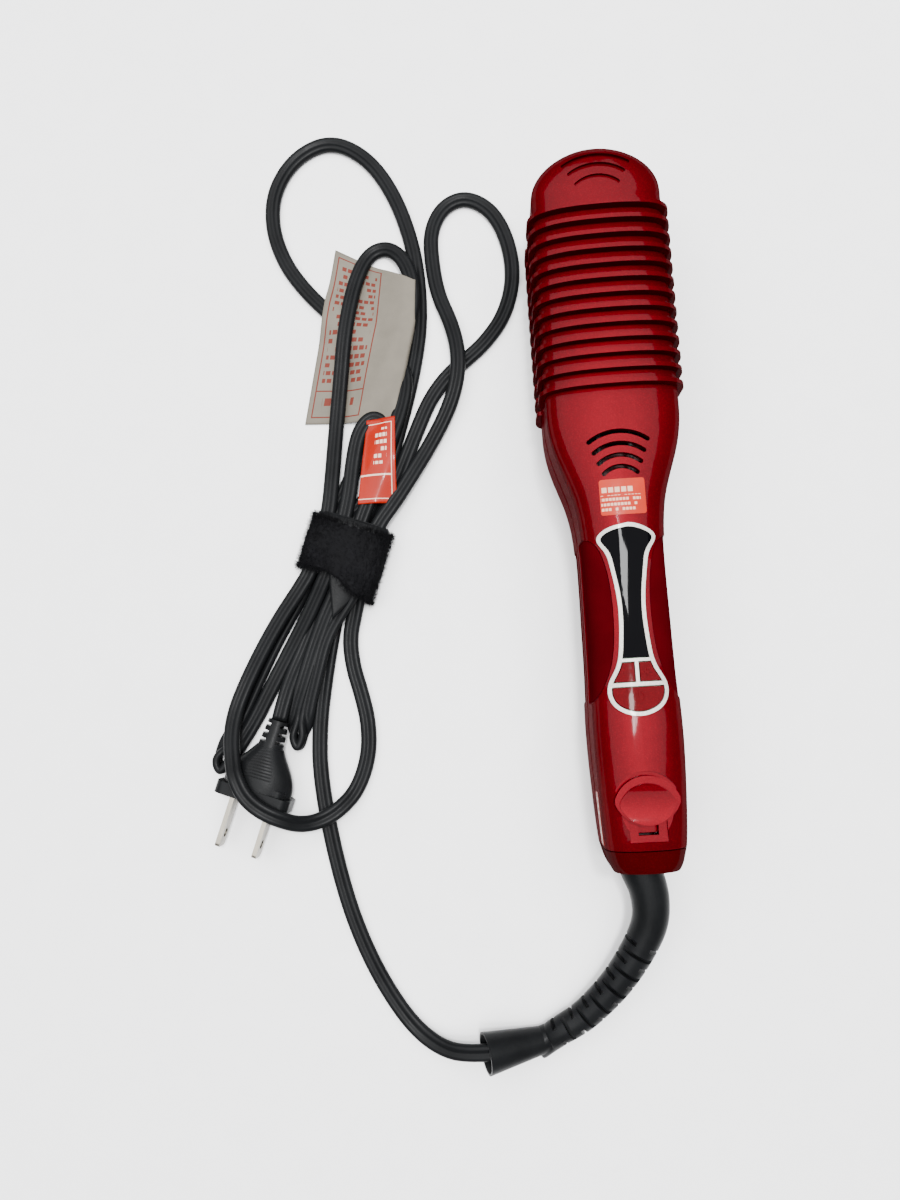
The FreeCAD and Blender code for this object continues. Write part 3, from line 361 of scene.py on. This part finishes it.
def print_finishes():
    """The finishes with generic print: paper tag, top label and orange tag."""
    paper = printed(
        "tag_paper", (0.108, 0.097, 0.079), (0.085, 0.009, 0.005), 0.62, sheet_coords,
        panels=[((3.2, 17.0, 14.0, 58.0), 2.75, 2.1), ((4.5, 15.5, 4.5, 9.5), 5.0, 3.0)],
        borders=[((1.8, 18.4, 2.4, 60.0), 0.45), ((1.8, 18.4, 11.6, 60.0), 0.45)])
    label = printed(
        "label_orange", (0.27, 0.012, 0.002), (0.50, 0.30, 0.21), 0.4, top_label_coords,
        panels=[((-5.6, 5.6, 1.4, 4.4), 3.6, 1.9), ((-5.8, 5.8, -4.6, 0.6), 1.5, 1.0)],
        borders=[], coat=0.06)
    film = printed(
        "tag_film", (0.20, 0.007, 0.0016), (0.5, 0.36, 0.28), 0.34, sheet_coords,
        panels=[((4.6, 9.5, 13.5, 26.5), 2.5, 1.6)],
        borders=[((-6.0, 11.4, 1.6, 28.2), 0.3), ((-6.0, 11.4, 9.6, 9.9), 0.3)], coat=0.1)
    return {"paper": paper, "orange": label, "orange_tag": film}


def finish_frame():
    """Gives every CAD node its slot's finish, and returns all finishes."""
    made = {slot: build() for slot, build in FINISHES.items()}
    made.update(print_finishes())
    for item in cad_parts.values():
        for slot in item.material_slots:
            slot.material = made[slot.material.name]
    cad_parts["side_label"].material_slots[0].material = arrow_label(
        "side_label_orange", (0.14, 0.010, 0.004), (0.30, 0.25, 0.21))
    return made


# ---- helpers for meshes --------------------------------------------------------------------
def mesh_piece(name, points, faces, material):
    """A smooth-shaded object made of the given points, in metres, and faces."""
    mesh = bpy.data.meshes.new(name)
    mesh.from_pydata([tuple(p) for p in points], [], faces)
    mesh.materials.append(material)
    for face in mesh.polygons:
        face.use_smooth = True
    mesh.update()
    item = bpy.data.objects.new(name, mesh)
    bpy.context.scene.collection.objects.link(item)
    return item


def joined_rings(rings, close_ends=True):
    """All points of equal rings and the faces between them. Each end may be closed by one face."""
    count = len(rings[0])
    faces = []
    for i in range(len(rings) - 1):
        for j in range(count):
            a = i * count + j
            b = i * count + (j + 1) % count
            faces.append((a, b, b + count, a + count))
    if close_ends:
        faces.append(tuple(reversed(range(count))))
        faces.append(tuple(range((len(rings) - 1) * count, len(rings) * count)))
    return [p for ring in rings for p in ring], faces


def eased(share):
    share = max(0.0, min(1.0, share))
    return share * share * (3.0 - 2.0 * share)


# ---- flat cord -----------------------------------------------------------------------------
CORD_WIDE = 5.4
CORD_THICK = 2.7
WEB_HALF = 0.82
LOBE_STEPS = 10
ROUTE_STEPS = 10
FLOOR_GAP = 0.05

# from the bend protector's mouth to the strap
FEED = (
    (-48.7, -168, 9.8), (-58, -169, 8.2), (-66.5, -167.6, 4.4), (-74.5, -161.8, 1.9), (-82, -151, 1.4),
    (-88.5, -138, 1.4), (-94, -122.5, 1.4), (-98.6, -102, 1.4), (-101.6, -80, 1.4), (-101, -64, 1.4),
    (-98.4, -48, 1.4), (-95, -32, 1.6), (-91, -17, 3.0),
)
# the largest loop above the strap
FIRST_LOOP = (
    (-80.5, 9, 2.4), (-74.5, 20, 1.4), (-70, 33, 1.4), (-65.5, 47, 1.4), (-62, 60, 1.4), (-59.5, 73, 1.4),
    (-59, 87, 1.4), (-60.5, 104, 1.4), (-66, 123, 1.4), (-75, 138, 1.4), (-88, 146, 1.4), (-101, 141, 1.4),
    (-109.5, 129, 1.4), (-111, 115, 1.4), (-107, 101, 1.4), (-100, 90, 1.4), (-92, 81, 1.4),
    (-84, 73, 1.4), (-75, 66, 1.4), (-68.2, 61.5, 1.6), (-65, 54, 4.2), (-67, 43.5, 5.0), (-71.4, 32, 6.2),
    (-76.2, 20, 6.6), (-80.5, 10, 6.0),
)
# a short fold below the strap, standing on its edge where it turns
UPRIGHT_FOLD = (
    (-95.5, -25, 5.2), (-100.5, -36, 4.4), (-105.2, -49, 4.4), (-109.3, -60, 3.4), (-110.0, -67.4, 2.8),
    (-108.3, -71.8, 2.8), (-106.3, -67.4, 2.8), (-104.4, -58, 3.4), (-100.4, -45, 4.3), (-97, -34, 4.6),
    (-90, -24, 5.0),
)
# the loop that leans towards the iron
SECOND_LOOP = (
    (-71, 10.5, 5.2), (-64.5, 20, 4.2), (-58, 30, 3.0), (-51.5, 41, 3.4), (-47.5, 51.5, 4.4),
    (-46.5, 62, 4.4), (-48.5, 73, 2.8), (-52.5, 84, 1.4), (-54, 96, 1.4), (-54, 108, 1.4),
    (-49, 117, 1.4), (-40.5, 120, 1.4), (-31.5, 114, 1.4), (-26.5, 102, 1.4), (-25.5, 88, 1.4),
    (-29.5, 75, 1.4), (-36.5, 66, 1.4), (-43, 60.5, 1.4), (-50.5, 55, 1.4), (-57.5, 46.5, 1.4),
    (-62.5, 36, 1.4), (-67, 26, 1.4), (-72, 14.5, 2.0),
)
# the wide loop below the strap, which lies over the plug
PLUG_LOOP = (
    (-87, -26, 2), (-89.5, -35, 1.4), (-88.8, -45, 1.4), (-86.4, -54, 1.4), (-84.4, -64, 1.4),
    (-84.8, -75, 1.4), (-89, -86, 2.0), (-95, -92, 4.8), (-101.5, -95.2, 6), (-107.3, -95.6, 9),
    (-112.6, -93.4, 12.8), (-119, -90, 14), (-124.1, -85.3, 14), (-126.8, -79.1, 14),
    (-128, -74.9, 12), (-129.2, -66, 9), (-128.5, -58, 6), (-125, -49, 4.6), (-119, -38, 4.8),
    (-112, -27, 5.4), (-105.5, -18.5, 5.9),
)
# the loop that carries the paper tag
TAG_LOOP = (
    (-92.5, 20, 4.8), (-91, 36, 2.5), (-88.5, 54, 2.8), (-86, 72, 4.4), (-82, 90, 2.8),
    (-77, 101, 1.4), (-70, 103.5, 1.6), (-64, 98, 3.2), (-61, 88, 4.3), (-62, 76, 4.4),
    (-67, 64, 4.4), (-72, 54, 4.0), (-77, 44, 2.0), (-81, 34, 1.4), (-85.5, 22, 1.6), (-90, 13, 2.6),
)
# the outermost fold below the strap
OUTER_FOLD = (
    (-107, -22, 2), (-114, -33, 1.4), (-120.5, -45, 1.4), (-126.5, -57, 1.4), (-132, -67, 2),
    (-136.6, -73.0, 2.8), (-134.9, -78.2, 2.8), (-131.6, -73.5, 2.8), (-123.4, -62, 1.4),
    (-116.8, -50, 1.4), (-109.9, -38, 1.4), (-102.6, -26, 3),
)
# the shortest loop above the strap, under the orange tag
SHORT_LOOP = (
    (-86.5, 15, 5.2), (-85, 26, 4.6), (-82.5, 36, 4.5), (-77.5, 41, 4.4), (-73, 37, 4.2),
    (-73, 29, 4.2), (-77, 18, 3.8), (-83, 10, 3.1),
)
# into the plug's neck
PLUG_STRAND = (
    (-99.5, -25, 2), (-104.6, -37, 1.6), (-108.8, -46, 3.2), (-111.6, -54, 5.2), (-113.6, -61.6, 6.2),
)
# four columns of runs inside the strap, each from its lower to its upper end
COLUMNS = (
    ((-100.9, -11.7), (-97.5, -2.3), (-94.1, 7.1)),
    ((-95.7, -13.6), (-92.2, -4.2), (-88.8, 5.2)),
    ((-90.4, -15.6), (-87.0, -6.2), (-83.5, 3.2)),
    ((-85.1, -17.5), (-81.7, -8.1), (-78.3, 1.3)),
)
LOW_LAYER = 3.1
HIGH_LAYER = 5.9


def strap_run(column, layer, up):
    spots = COLUMNS[column] if up else COLUMNS[column][::-1]
    return tuple((x, y, layer) for x, y in spots)


CORD_ROUTE = (
    FEED + strap_run(2, LOW_LAYER, True)
    + FIRST_LOOP + strap_run(2, HIGH_LAYER, False)
    + UPRIGHT_FOLD + strap_run(3, HIGH_LAYER, True)
    + SECOND_LOOP + strap_run(3, LOW_LAYER, False)
    + PLUG_LOOP + strap_run(0, HIGH_LAYER, True)
    + TAG_LOOP + strap_run(0, LOW_LAYER, False)
    + OUTER_FOLD + strap_run(1, HIGH_LAYER, True)
    + SHORT_LOOP + strap_run(1, LOW_LAYER, False)
    + PLUG_STRAND
)
# places where the cord stands on its edge, how far it stays so on either side, and how far it turns
ON_EDGE = ((-108.2, -70.4, 2.8), (-134.8, -76.5, 2.8))
EDGE_HOLD = 3.0
EDGE_RAMP = 9.0


def route_line(route):
    """Points along the smooth curve that has the route as its control points, in metres."""
    curve = bpy.data.curves.new("route", "CURVE")
    curve.dimensions = "3D"
    curve.resolution_u = ROUTE_STEPS
    spline = curve.splines.new("NURBS")
    spline.points.add(len(route) - 1)
    for point, place in zip(spline.points, route):
        point.co = (*[v * MM for v in place], 1.0)
    spline.order_u = 3
    spline.use_endpoint_u = True
    holder = bpy.data.objects.new("route", curve)
    mesh = bpy.data.meshes.new_from_object(holder)
    line = [v.co.copy() for v in mesh.vertices]
    bpy.data.objects.remove(holder)
    bpy.data.curves.remove(curve)
    bpy.data.meshes.remove(mesh)
    return [p for p, q in zip(line, [None] + line) if q is None or (p - q).length > 1e-6]


def distances(line):
    """Length from the start of the line to each of its points."""
    found = [0.0]
    for p, q in zip(line, line[1:]):
        found.append(found[-1] + (q - p).length)
    return found


def cord_outline():
    """Two round lobes with a web between them: across and up, in millimetres."""
    lobe = CORD_THICK / 2
    join = math.pi - math.asin(WEB_HALF / lobe)
    turns = [join - 2 * join * i / LOBE_STEPS for i in range(LOBE_STEPS + 1)]
    left = [(-lobe - lobe * math.cos(a), lobe * math.sin(a)) for a in turns]
    right = [(lobe + lobe * math.cos(a), -lobe * math.sin(a)) for a in turns]
    return left[::-1] + right[::-1]


def roll_at(line, lengths):
    """Roll of the cord about its own line: flat, but a quarter turn where it stands on its edge."""
    rolls = [0.0] * len(line)
    for spot in ON_EDGE:
        place = Vector(spot) * MM
        middle = lengths[min(range(len(line)), key=lambda i: (line[i] - place).length)]
        for i, length in enumerate(lengths):
            away = abs(length - middle) / MM - EDGE_HOLD
            rolls[i] += math.pi / 2 * eased(1.0 - away / EDGE_RAMP)
    return rolls


def lift_from_floor(line, rolls):
    """Raises the line where the rolled cord would sink into the floor."""
    for spot, roll in zip(line, rolls):
        half_tall = CORD_THICK / 2 + (CORD_WIDE - CORD_THICK) / 2 * math.sin(roll)
        spot.z = max(spot.z, (half_tall + FLOOR_GAP) * MM)


def make_cord(material):
    """The whole cord as one tube of figure-eight section, and the line along its middle."""
    line = route_line(CORD_ROUTE)
    rolls = roll_at(line, distances(line))
    lift_from_floor(line, rolls)
    section = cord_outline()
    rings = []
    for i, spot in enumerate(line):
        ahead = (line[min(i + 1, len(line) - 1)] - line[max(i - 1, 0)]).normalized()
        level = ahead.cross(Vector((0, 0, 1))).normalized()
        side = Matrix.Rotation(rolls[i], 3, ahead) @ level
        up = side.cross(ahead)
        rings.append([spot + side * a * MM + up * b * MM for a, b in section])
    points, faces = joined_rings(rings)
    return mesh_piece("mains_cord", points, faces, material), line


# ---- strap ---------------------------------------------------------------------------------
STRAP_SPOT = (-89.0, -5.2)
STRAP_TURN = math.radians(-20.0)
STRAP_HALF = 14.0
STRAP_HIGH = 9.6
# the pile side's lower edge, how far it slants down to the right, and its upper edge
PILE_START = -9.2
PILE_SLANT = 5.0
PILE_END = 8.0
BAND_AROUND = 220
BAND_ROWS = 34
LOOP_POWER = 3.2
FIBRES = 8200
FIBRE_STEPS = 2
FIBRE_HALF = 0.07
FIBRE_BEND = 0.45
# the loose end's corners, and the height that it hangs from
TAIL_CORNERS = ((-94.6, -8.0), (-82.0, -12.0), (-84.0, -19.5), (-94.2, -29.0))
TAIL_STEPS = 14
TAIL_TOP = 8.55
TAIL_THICK = 0.7


def strap_place(across, along, up):
    """Strap coordinates in millimetres to the frame's metres."""
    c, s = math.cos(STRAP_TURN), math.sin(STRAP_TURN)
    x = STRAP_SPOT[0] + across * c - along * s
    y = STRAP_SPOT[1] + across * s + along * c
    return Vector((x, y, max(up, 0.05))) * MM


def strap_loop(share, half, high):
    """Spot and outward direction on a flattened round loop that stands on the floor, across and up."""
    angle = 2 * math.pi * share
    c, s = math.cos(angle), math.sin(angle)
    across = half * math.copysign(abs(c) ** (2 / LOOP_POWER), c)
    up = high / 2 * math.copysign(abs(s) ** (2 / LOOP_POWER), s)
    out = Vector((math.copysign(abs(c) ** 1.6 / half, c), math.copysign(abs(s) ** 1.6 / high, s)))
    return Vector((across, up + high / 2)), out.normalized()


def slanted(start, slant, across):
    """Lower edge of the strap, which runs level on the left and drops by the slant on the right."""
    return start - slant * eased((across + 4.0) / STRAP_HALF)


def band(name, start, end, slant, half, high, thick, rough, material):
    """A band wound round the bundle. Its outside is raised by a rough pile and its edges wander."""
    rings = []
    for j in range(2 * BAND_ROWS + 2):
        outside = j <= BAND_ROWS
        share_along = (j if outside else 2 * BAND_ROWS + 1 - j) / BAND_ROWS
        ring = []
        for i in range(BAND_AROUND):
            spot, out = strap_loop(i / BAND_AROUND, half, high)
            wander = noise.noise(Vector((i * 0.55, share_along * 3, 10.0))) * rough * 0.9
            low = slanted(start, slant, spot.x)
            along = low + (end - low) * share_along + wander * (1 if share_along > 0.5 else -1)
            crown = math.sin(math.pi * share_along) ** 0.5 * 1.3
            pile = noise.fractal(Vector((spot.x, along, spot.y)) * 1.9, 0.6, 2.2, 4) * rough
            lift = crown - 1.2 + pile if outside else -thick
            spot = spot + out * lift
            ring.append(strap_place(spot.x, along, spot.y))
        rings.append(ring)
    rings.append(rings[0])
    points, faces = joined_rings(rings, close_ends=False)
    return mesh_piece(name, points, faces, material)


def fibre_start():
    """Root, lean, bend and length of one fibre, somewhere on the strap or along one of its edges."""
    spot, out = strap_loop(random.random(), STRAP_HALF, STRAP_HIGH)
    low = slanted(PILE_START, PILE_SLANT, spot.x)
    along = random.uniform(low, PILE_END)
    edge = 0
    if random.random() < 0.3:
        edge = random.choice((-1, 1))
        along = (low if edge < 0 else PILE_END) + random.gauss(0.0, 0.35)
    tilt = Vector((random.gauss(0, 0.55), edge * 1.1 + random.gauss(0, 0.55), random.gauss(0, 0.55)))
    outward = Vector((out.x, 0, out.y))
    root = Vector((spot.x, along, spot.y)) - outward * 0.5
    lean = (outward + tilt).normalized()
    bend = lean.cross(Vector((random.gauss(0, 1), random.gauss(0, 1), random.gauss(0, 1)))).normalized()
    return root, lean, bend, random.uniform(0.9, 2.1)


def add_fibre(points, faces, root, lean, bend, long):
    """Adds one fibre, a thin bent three-sided spike."""
    first = len(points)
    cross = lean.cross(bend)
    for step in range(FIBRE_STEPS + 1):
        share = step / FIBRE_STEPS
        middle = root + lean * long * share + bend * FIBRE_BEND * long * share * share
        wide = FIBRE_HALF * (1.0 - 0.5 * share)
        for k in range(3):
            a = 2 * math.pi * k / 3
            rim = middle + (bend * math.cos(a) + cross * math.sin(a)) * wide
            points.append(strap_place(rim.x, rim.y, rim.z))
    for step in range(FIBRE_STEPS):
        for k in range(3):
            a = first + step * 3 + k
            b = first + step * 3 + (k + 1) % 3
            faces.append((a, b, b + 3, a + 3))
    last = first + 3 * FIBRE_STEPS
    faces.append((last, last + 1, last + 2))


def pile_fibres(material):
    """Short bent fibres of the hook-and-loop strap, standing out of its outside."""
    points = []
    faces = []
    for _ in range(FIBRES):
        add_fibre(points, faces, *fibre_start())
    return mesh_piece("strap_pile", points, faces, material)


def strap_tail(material):
    """The strap's smooth loose end, which comes to a point below the band."""
    top_left, top_right, bottom_right, bottom_left = [Vector(c) for c in TAIL_CORNERS]
    upper = []
    for i in range(TAIL_STEPS + 1):
        t = i / TAIL_STEPS
        for j in range(TAIL_STEPS + 1):
            s = j / TAIL_STEPS
            x, y = top_left.lerp(top_right, s).lerp(bottom_left.lerp(bottom_right, s), t)
            upper.append(Vector((x, y, TAIL_TOP - 1.9 * t ** 1.6 - 0.5 * s * t)) * MM)
    lower = [p - Vector((0, 0, TAIL_THICK * MM)) for p in upper]
    n = TAIL_STEPS + 1
    below = n * n
    faces = []
    for i in range(TAIL_STEPS):
        for j in range(TAIL_STEPS):
            a = i * n + j
            faces.append((a, a + 1, a + n + 1, a + n))
            faces.append((a + below, a + n + below, a + n + 1 + below, a + 1 + below))
    rim = ([i * n for i in range(n)] + [(n - 1) * n + j for j in range(1, n)]
           + [i * n + n - 1 for i in range(n - 2, -1, -1)] + [j for j in range(n - 2, 0, -1)])
    for a, b in zip(rim, rim[1:] + rim[:1]):
        faces.append((a, b, b + below, a + below))
    return mesh_piece("strap_tail", upper + lower, faces, material)


def make_strap(finishes):
    """The fuzzy outside with its fibres, the smooth back that shows above it, and the loose end."""
    pile = pile_fibres(finishes["strap"])
    fuzzy = band("strap_band", PILE_START, PILE_END, PILE_SLANT, STRAP_HALF, STRAP_HIGH, 1.5, 0.5,
                 finishes["strap"])
    smooth = band("strap_back", 4.0, 10.6, 0.0, STRAP_HALF - 1.0, STRAP_HIGH - 1.1, 0.8, 0.08,
                  finishes["cord_black"])
    tail = strap_tail(finishes["cord_black"])
    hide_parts("cable_tie")
    return [fuzzy, smooth, pile, tail]


# ---- tags ----------------------------------------------------------------------------------
# left and right edges as shares from the lower end with their spots, and the printed size
PAPER_LEFT = ((0.0, (-102.0, 41.0)), (1.0, (-88.4, 104.6)))
PAPER_RIGHT = ((0.0, (-70.4, 39.2)), (0.56, (-61.6, 73.5)), (1.0, (-60.6, 88.5)))
PAPER_SIZE = (31.0, 62.0)
ORANGE_LEFT = ((0.0, (-83.6, 9.5)), (1.0, (-79.5, 39.0)))
ORANGE_RIGHT = ((0.0, (-70.5, 9.5)), (1.0, (-69.5, 39.5)))
ORANGE_SIZE = (13.0, 30.0)
SHEET_THICK = 0.16
SHEET_FALL = 0.42
SMOOTHINGS = 6
FLAP_TURNS = 7
FLAP_BACK = 6


def line_gap(x, y, line):
    """Distance in plan from a spot to a line of (x, y, z), and the line's height there."""
    best = (1e9, 0.0)
    for a, b in zip(line, line[1:]):
        dx, dy = b[0] - a[0], b[1] - a[1]
        t = max(0.0, min(1.0, ((x - a[0]) * dx + (y - a[1]) * dy) / (dx * dx + dy * dy)))
        gap = math.hypot(x - a[0] - t * dx, y - a[1] - t * dy)
        best = min(best, (gap, a[2] + t * (b[2] - a[2])))
    return best


def draped(x, y, lines, low):
    """Height of a stiff sheet that lies over strands of the cord, in millimetres."""
    height = low
    for line in lines:
        gap, middle = line_gap(x, y, line)
        top = middle + CORD_THICK / 2 + 0.25 - SHEET_FALL * max(0.0, gap - CORD_WIDE / 2)
        height = max(height, top)
    return height


def edge_at(edge, share):
    """Spot at a share of an edge given as points with their shares."""
    for (t0, a), (t1, b) in zip(edge, edge[1:]):
        if share <= t1:
            return Vector(a).lerp(Vector(b), (share - t0) / (t1 - t0))
    return Vector(edge[-1][1])


def tag_sheet(name, left, right, size, lines, low, material, flap=None, columns=40, rows=56):
    """A printed sheet laid over the cord. flap gives the strand that its right edge wraps round."""
    grid = []
    prints = []
    for j in range(rows + 1):
        t = j / rows
        a, b = edge_at(left, t), edge_at(right, t)
        row = []
        for i in range(columns + 1):
            s = i / columns
            x, y = a.lerp(b, s)
            row.append(Vector((x, y, draped(x, y, lines, low))))
            prints.append((s * size[0], t * size[1]))
        grid.append(row)
    for _ in range(SMOOTHINGS):
        smooth_heights(grid)
    points = [p * MM for row in grid for p in row]
    n = columns + 1
    faces = [(j * n + i, j * n + i + 1, (j + 1) * n + i + 1, (j + 1) * n + i)
             for j in range(rows) for i in range(columns)]
    if flap:
        add_flap(points, faces, prints, grid, flap, size)
    item = mesh_piece(name, points, faces, material)
    uv = item.data.uv_layers.new(name="print")
    for loop in item.data.loops:
        u, v = prints[loop.vertex_index]
        uv.data[loop.index].uv = (u / UV_SHARE, v / UV_SHARE)
    thick = item.modifiers.new("thickness", "SOLIDIFY")
    thick.thickness = SHEET_THICK * MM
    thick.offset = 0.0
    return item


def smooth_heights(grid):
    """One pass of averaging, which keeps the sheet above where it started only at its ridges."""
    old = [[p.z for p in row] for row in grid]
    for j, row in enumerate(grid):
        for i, p in enumerate(row):
            around = [old[b][a] for b in (j - 1, j, j + 1) for a in (i - 1, i, i + 1)
                      if 0 <= b < len(grid) and 0 <= a < len(row)]
            p.z = max(old[j][i] - 0.02, sum(around) / len(around))


def add_flap(points, faces, prints, grid, strand, size):
    """Continues each row round the strand's far side and back under the sheet."""
    first = len(points)
    m = FLAP_TURNS + FLAP_BACK
    for j, row in enumerate(grid):
        end = row[-1]
        middle = line_gap(end.x, end.y, strand)[1]
        low = middle - CORD_THICK / 2 - 0.3
        for k in range(1, FLAP_TURNS + 1):
            a = math.pi * k / FLAP_TURNS
            x = end.x + 0.9 * math.sin(a)
            z = (end.z + low) / 2 + (end.z - low) / 2 * math.cos(a)
            points.append(Vector((x, end.y, z)) * MM)
        for k in range(1, FLAP_BACK + 1):
            points.append(Vector((end.x - k * 1.6, end.y + k * 0.3, max(low - 0.12 * k, 0.2))) * MM)
        prints.extend([(size[0] * 0.97, size[1] * j / (len(grid) - 1))] * m)
    n = len(grid[0])
    for j in range(len(grid) - 1):
        faces.append((j * n + n - 1, first + j * m, first + (j + 1) * m, (j + 1) * n + n - 1))
        for k in range(m - 1):
            a = first + j * m + k
            faces.append((a, a + 1, a + m + 1, a + m))


def make_tags(finishes):
    """The paper tag, which hangs on one strand, and the small orange tag that lies on two."""
    return_strand = FIRST_LOOP[15:] + strap_run(2, HIGH_LAYER, False)
    tag_strand = TAG_LOOP[6:14]
    paper = tag_sheet("tag_of_paper", PAPER_LEFT, PAPER_RIGHT, PAPER_SIZE, (return_strand[:7], tag_strand),
                      0.35, finishes["paper"], flap=tag_strand)
    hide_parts("paper_tag")
    orange = tag_sheet("tag_orange", ORANGE_LEFT, ORANGE_RIGHT, ORANGE_SIZE,
                       (return_strand[5:], SHORT_LOOP[3:]), 3.4, finishes["orange_tag"],
                       columns=24, rows=40)
    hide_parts("orange_tag")
    return [paper, orange]


# ---- the scene -----------------------------------------------------------------------------
make_camera()
make_stage()
finishes = finish_frame()
cord, cord_line = make_cord(finishes["cord_black"])
strap = make_strap(finishes)
tags = make_tags(finishes)
slots = ["cord_black"] + ["strap"] * len(strap) + ["paper", "orange"]
for piece, slot in zip([cord, *strap, *tags], slots):
    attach(piece, "lower_arm")
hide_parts("cord_tube", "cord_bundle")
